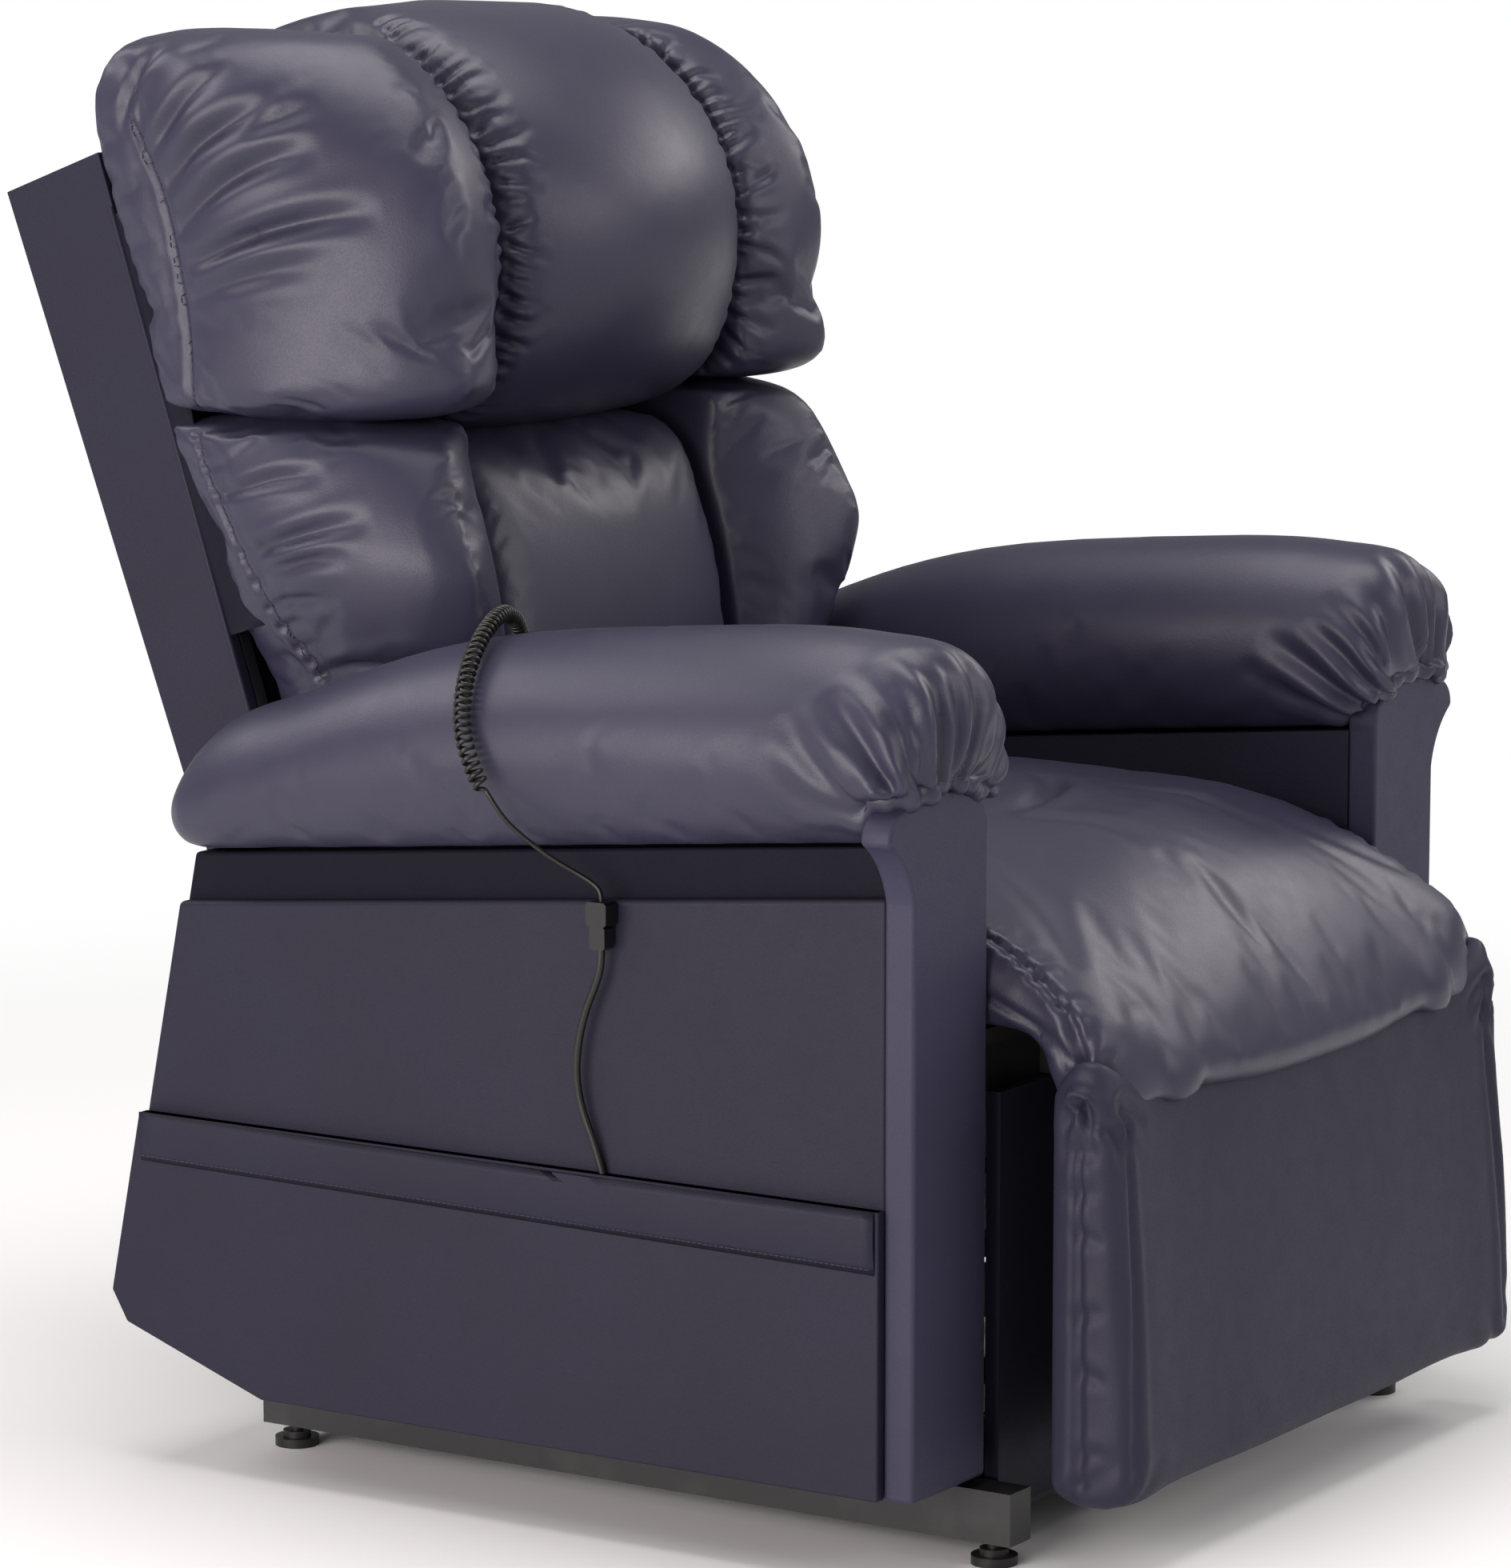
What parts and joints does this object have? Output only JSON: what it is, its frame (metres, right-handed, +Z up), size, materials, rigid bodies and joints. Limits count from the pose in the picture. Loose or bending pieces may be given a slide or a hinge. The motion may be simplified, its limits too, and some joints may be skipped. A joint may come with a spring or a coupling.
{
  "type": "lift recliner chair",
  "caption": "Powered lift recliner armchair with a swinging footrest, a reclining cushioned back, padded roll arms, side pockets and a wired handset.",
  "frame": {"origin": "on the floor under the middle of the chair's box, measured without the free cords", "axes": "+Z up, the sitter faces -Y, the sitter's right is -X"},
  "size_m": [0.919, 1.0419, 1.128],
  "materials": {
    "steel": "satin black powder coat",
    "links": "satin dark grey powder coat",
    "bright_steel": "zinc plated",
    "black_plastic": "fine textured",
    "button_rubber": "soft touch",
    "cord_jacket": "satin",
    "plywood": "raw",
    "dust_cloth": "black cloth over board",
    "upholstery": "satin, fine grain",
    "arm_band_vinyl": "satin, fine grain",
    "pocket_vinyl": "satin, fine grain",
    "cushion_vinyl": "coated fabric with a fine leather grain over foam and fibre"
  },
  "bodies": {
    "base": {"base_rail_right": "steel", "base_rail_left": "steel", "base_crossbars": "steel", "levelling_feet": "black_plastic", "link_ears": "steel", "lift_motor": "black_plastic", "lift_motor_bracket": "steel"},
    "front_links": {"front_links": "links", "front_link_shaft": "links"},
    "rear_links": {"rear_links": "links", "rear_link_shaft": "links"},
    "lift_rod": {"lift_rod": "bright_steel"},
    "chassis": {"chassis_plate_right": "steel", "chassis_plate_left": "steel", "chassis_pivot_pins": "bright_steel", "footrest_motor": "black_plastic", "recline_motor": "black_plastic", "chassis_bars": "steel", "seat_deck": "plywood", "kick_panel": "dust_cloth", "footrest_hinge_brackets": "steel", "side_panel_right": "upholstery", "side_panel_left": "upholstery", "inner_panel_right": "upholstery", "inner_panel_left": "upholstery", "arm_band_right": "arm_band_vinyl", "arm_band_left": "arm_band_vinyl", "side_pocket_right": "pocket_vinyl", "side_pocket_left": "pocket_vinyl", "arm_front_right": "upholstery", "arm_front_left": "upholstery", "arm_pad_right": "cushion_vinyl", "arm_pad_left": "cushion_vinyl", "seat_cushion": "cushion_vinyl", "control_box": "black_plastic", "rear_cover": "dust_cloth", "handset": "black_plastic", "curly_cord": "cord_jacket", "cord_connector": "black_plastic", "lower_cord": "cord_jacket", "cord_gland": "black_plastic"},
    "footrest": {"footrest_board": "plywood", "footrest_pad": "cushion_vinyl", "footrest_hinge_arms": "steel"},
    "footrest_rod": {"footrest_rod": "bright_steel"},
    "back": {"back_shell": "upholstery", "back_rails": "steel", "back_hinge_pins": "bright_steel", "back_cross_rails": "plywood", "lumbar_cushion": "cushion_vinyl", "head_pillow": "cushion_vinyl", "lower_bolster_right": "cushion_vinyl", "lower_bolster_left": "cushion_vinyl", "shoulder_bolster_right": "cushion_vinyl", "shoulder_bolster_left": "cushion_vinyl"},
    "recline_rod": {"recline_rod": "bright_steel"},
    "lift_rocker": {"lift_rocker": "button_rubber"},
    "recline_rocker": {"recline_rocker": "button_rubber"},
    "footrest_rocker": {"footrest_rocker": "button_rubber"}
  },
  "joints": [
    {"name": "lift", "type": "hinge", "parent": "base", "child": "front_links", "pos_m": [0, -0.35, 0.078], "axis": [1, 0, 0], "range_deg": [0, 52.4]},
    {"name": "lift_chassis", "type": "hinge", "parent": "front_links", "child": "chassis", "pos_m": [0, -0.1595, 0.0775], "axis": [1, 0, 0], "range_deg": [-26.6, 0]},
    {"name": "lift_rear_links", "type": "hinge", "parent": "base", "child": "rear_links", "pos_m": [0, -0.2986, 0.0981], "axis": [1, 0, 0], "range_deg": [0, 41.2]},
    {"name": "lift_rod_slide", "type": "slide", "parent": "base", "child": "lift_rod", "axis": [0, -0.9397, 0.342], "range_m": [0, 0.0985]},
    {"name": "footrest", "type": "hinge", "parent": "chassis", "child": "footrest", "pos_m": [0, -0.49, 0.366], "axis": [-1, 0, 0], "range_deg": [0, 85]},
    {"name": "footrest_rod_slide", "type": "slide", "parent": "chassis", "child": "footrest_rod", "axis": [0, -1, 0], "range_m": [0, 0.1571]},
    {"name": "recline", "type": "hinge", "parent": "chassis", "child": "back", "pos_m": [0, 0.232, 0.43], "axis": [-1, 0, 0], "range_deg": [0, 52]},
    {"name": "recline_rod_slide", "type": "slide", "parent": "chassis", "child": "recline_rod", "axis": [0, -1, 0], "range_m": [0, 0.0968]},
    {"name": "lift_rock", "type": "hinge", "parent": "chassis", "child": "lift_rocker", "pos_m": [-0.26823, -0.059, 0.51772], "axis": [0.9923, 0, 0.124], "range_deg": [-8, 8], "stiffness_Nm_per_rad": 0.06},
    {"name": "recline_rock", "type": "hinge", "parent": "chassis", "child": "recline_rocker", "pos_m": [-0.26823, -0.089, 0.51772], "axis": [0.9923, 0, 0.124], "range_deg": [-8, 8], "stiffness_Nm_per_rad": 0.06},
    {"name": "footrest_rock", "type": "hinge", "parent": "chassis", "child": "footrest_rocker", "pos_m": [-0.26823, -0.119, 0.51772], "axis": [0.9923, 0, 0.124], "range_deg": [-8, 8], "stiffness_Nm_per_rad": 0.06}
  ],
  "couplings": [
    {"joint": "lift_chassis", "follows": "lift", "ratio": -0.5057},
    {"joint": "lift_rear_links", "follows": "lift", "ratio": 0.7844},
    {"joint": "lift_rod_slide", "follows": "lift", "m_per_rad": 0.1075},
    {"joint": "footrest_rod_slide", "follows": "footrest", "m_per_rad": 0.1057},
    {"joint": "recline_rod_slide", "follows": "recline", "m_per_rad": 0.1063}
  ]
}
